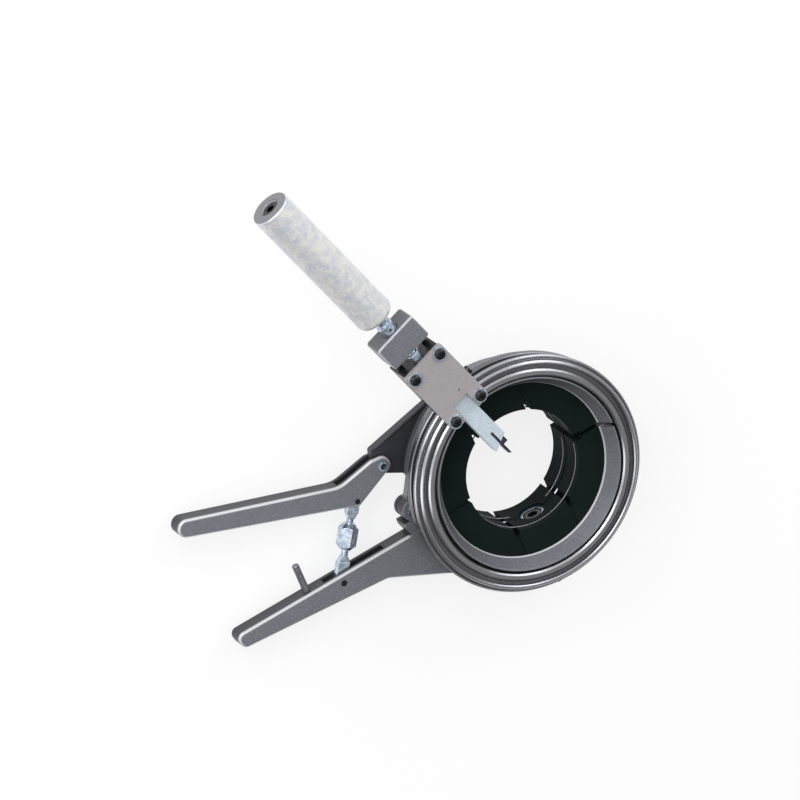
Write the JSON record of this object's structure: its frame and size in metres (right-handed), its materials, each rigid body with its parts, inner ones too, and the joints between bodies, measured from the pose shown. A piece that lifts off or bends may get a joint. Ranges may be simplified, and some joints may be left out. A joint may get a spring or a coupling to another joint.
{
  "type": "pipe chamfering tool",
  "caption": "Toggle-handle split collar that clamps a plastic pipe, with a guide ring and an orbiting carriage that feeds a cutter to chamfer the pipe's end.",
  "frame": {"origin": "pipe axis at the back face of the collar", "axes": "+Z along the pipe axis out of the front of the collar, towards the tool carriage; handles point towards -X"},
  "size_m": [0.3518, 0.3539, 0.0811],
  "materials": {
    "cast_paint": "dark grey metallic enamel on cast aluminium",
    "machined_aluminium": "turned, satin",
    "plate_aluminium": "bead blasted",
    "grip_aluminium": "tumbled, matte",
    "jaw_plastic": "matte",
    "black_steel": "black oxide",
    "bright_zinc": "blue-white zinc",
    "tool_steel": "hardened and ground",
    "bronze": "machined"
  },
  "bodies": {
    "lower_clamp": {"lower_clamp_casting": "cast_paint", "guide_ring": "machined_aluminium", "guide_ring_spacers": "bright_zinc", "guide_ring_screws": "black_steel", "lower_jaw_1": "jaw_plastic", "lower_jaw_2": "jaw_plastic", "lower_jaw_3": "jaw_plastic", "lower_jaw_bush": "bright_zinc", "lower_jaw_bolt": "bright_zinc", "lower_retaining_wire": "bright_zinc", "hinge_pin": "bright_zinc", "stop_peg": "cast_paint", "link_anchor_pin": "black_steel"},
    "upper_clamp": {"upper_clamp_casting": "cast_paint", "upper_jaw_1": "jaw_plastic", "upper_jaw_2": "jaw_plastic", "upper_jaw_3": "jaw_plastic", "upper_jaw_bush": "bright_zinc", "upper_jaw_bolt": "bright_zinc", "upper_retaining_wire": "bright_zinc", "lever_pivot_pin": "bright_zinc"},
    "lever": {"lever_handle": "cast_paint", "link_top_pin": "black_steel"},
    "link_top": {"upper_link_rod": "bright_zinc"},
    "adjuster": {"adjuster_nut": "bright_zinc"},
    "link_bottom": {"lower_link_rod": "bright_zinc"},
    "carriage": {"carriage_block": "machined_aluminium", "cover_plate": "plate_aluminium", "cover_washers": "bright_zinc", "cover_screws": "black_steel", "guide_shoe": "bronze", "keeper": "bronze", "keeper_screws": "black_steel", "yoke_block": "cast_paint", "guide_rods": "bright_zinc", "side_lock_screw": "black_steel"},
    "feed": {"feed_spindle": "bright_zinc", "spindle_clip": "bright_zinc", "grip": "grip_aluminium", "grip_plug": "grip_aluminium", "grip_end_screw": "black_steel"},
    "tool": {"tool_slide": "bright_zinc", "feed_nut": "bronze", "cutter_bit": "tool_steel", "cutter_clamp_screw": "black_steel"}
  },
  "joints": [
    {"name": "lever_swing", "type": "hinge", "parent": "upper_clamp", "child": "lever", "pos_m": [-0.1027, 0.0039, 0.016], "axis": [0, 0, 1], "range_deg": [0, 24.5]},
    {"name": "clamp_swing", "type": "hinge", "parent": "lower_clamp", "child": "upper_clamp", "pos_m": [-0.0765, -0.0315, 0.016], "axis": [0, 0, 1], "range_deg": [-1.2, 0]},
    {"name": "link_swing", "type": "hinge", "parent": "lever", "child": "link_top", "pos_m": [-0.1213, -0.0215, 0.016], "axis": [0, 0, 1], "range_deg": [-35.55, 0]},
    {"name": "adjuster_spin", "type": "hinge", "parent": "link_top", "child": "adjuster", "pos_m": [-0.1213, -0.0215, 0.016], "axis": [-0.1046, -0.9945, 0], "range_deg": [-360, 360]},
    {"name": "link_length", "type": "slide", "parent": "link_top", "child": "link_bottom", "axis": [-0.1046, -0.9945, 0], "range_m": [-0.001, 0.001]},
    {"name": "carriage_orbit", "type": "hinge", "parent": "lower_clamp", "child": "carriage", "pos_m": [0, 0, 0.05], "axis": [0, 0, 1], "continuous": true},
    {"name": "feed_spin", "type": "hinge", "parent": "carriage", "child": "feed", "pos_m": [-0.11509, 0.11115, 0.06645], "axis": [-0.7193, 0.6947, 0], "range_deg": [-360, 1080]},
    {"name": "tool_feed", "type": "slide", "parent": "carriage", "child": "tool", "axis": [-0.7193, 0.6947, 0], "range_m": [-0.004, 0.012]}
  ],
  "couplings": [
    {"joint": "clamp_swing", "follows": "lever_swing", "ratio": -0.04898},
    {"joint": "link_swing", "follows": "lever_swing", "ratio": -1.4507},
    {"joint": "link_length", "follows": "adjuster_spin", "m_per_rad": 0.00015915},
    {"joint": "tool_feed", "follows": "feed_spin", "m_per_rad": 0.00063662}
  ]
}
